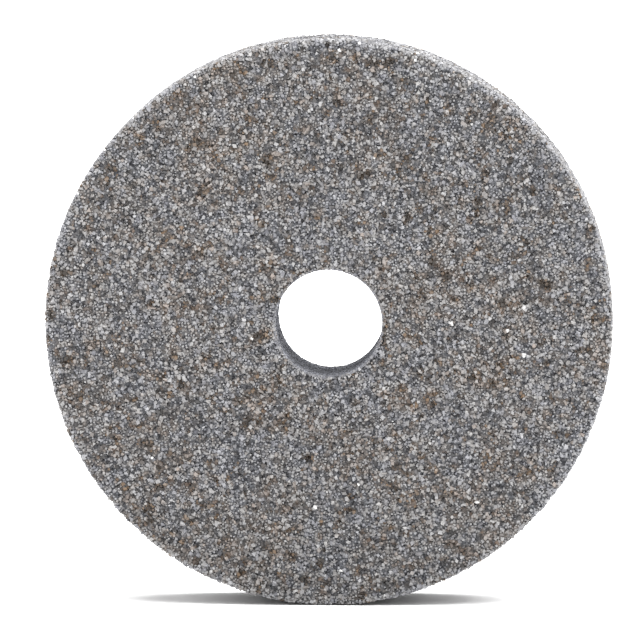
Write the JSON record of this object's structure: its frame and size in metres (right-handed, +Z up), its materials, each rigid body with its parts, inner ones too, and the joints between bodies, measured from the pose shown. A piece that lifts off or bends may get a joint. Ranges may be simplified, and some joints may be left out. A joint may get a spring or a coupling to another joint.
{
  "type": "small bonded grinding wheel",
  "caption": "Straight bonded-abrasive grinding wheel: a flat ring of grit with a plain round bore that slips onto a spindle between clamping flanges.",
  "frame": {"origin": "the wheel's centre: on its axis, half way through its width", "axes": "+Y along the wheel's axis, from the front face to the back face; +Z up, +X to the right seen from the front"},
  "size_m": [0.0508, 0.0096, 0.0508],
  "materials": {
    "bonded_grit": "rough granular",
    "lining": "matte cast"
  },
  "bodies": {
    "root": {"abrasive_ring": "bonded_grit", "bore_lining": "lining"}
  },
  "joints": []
}
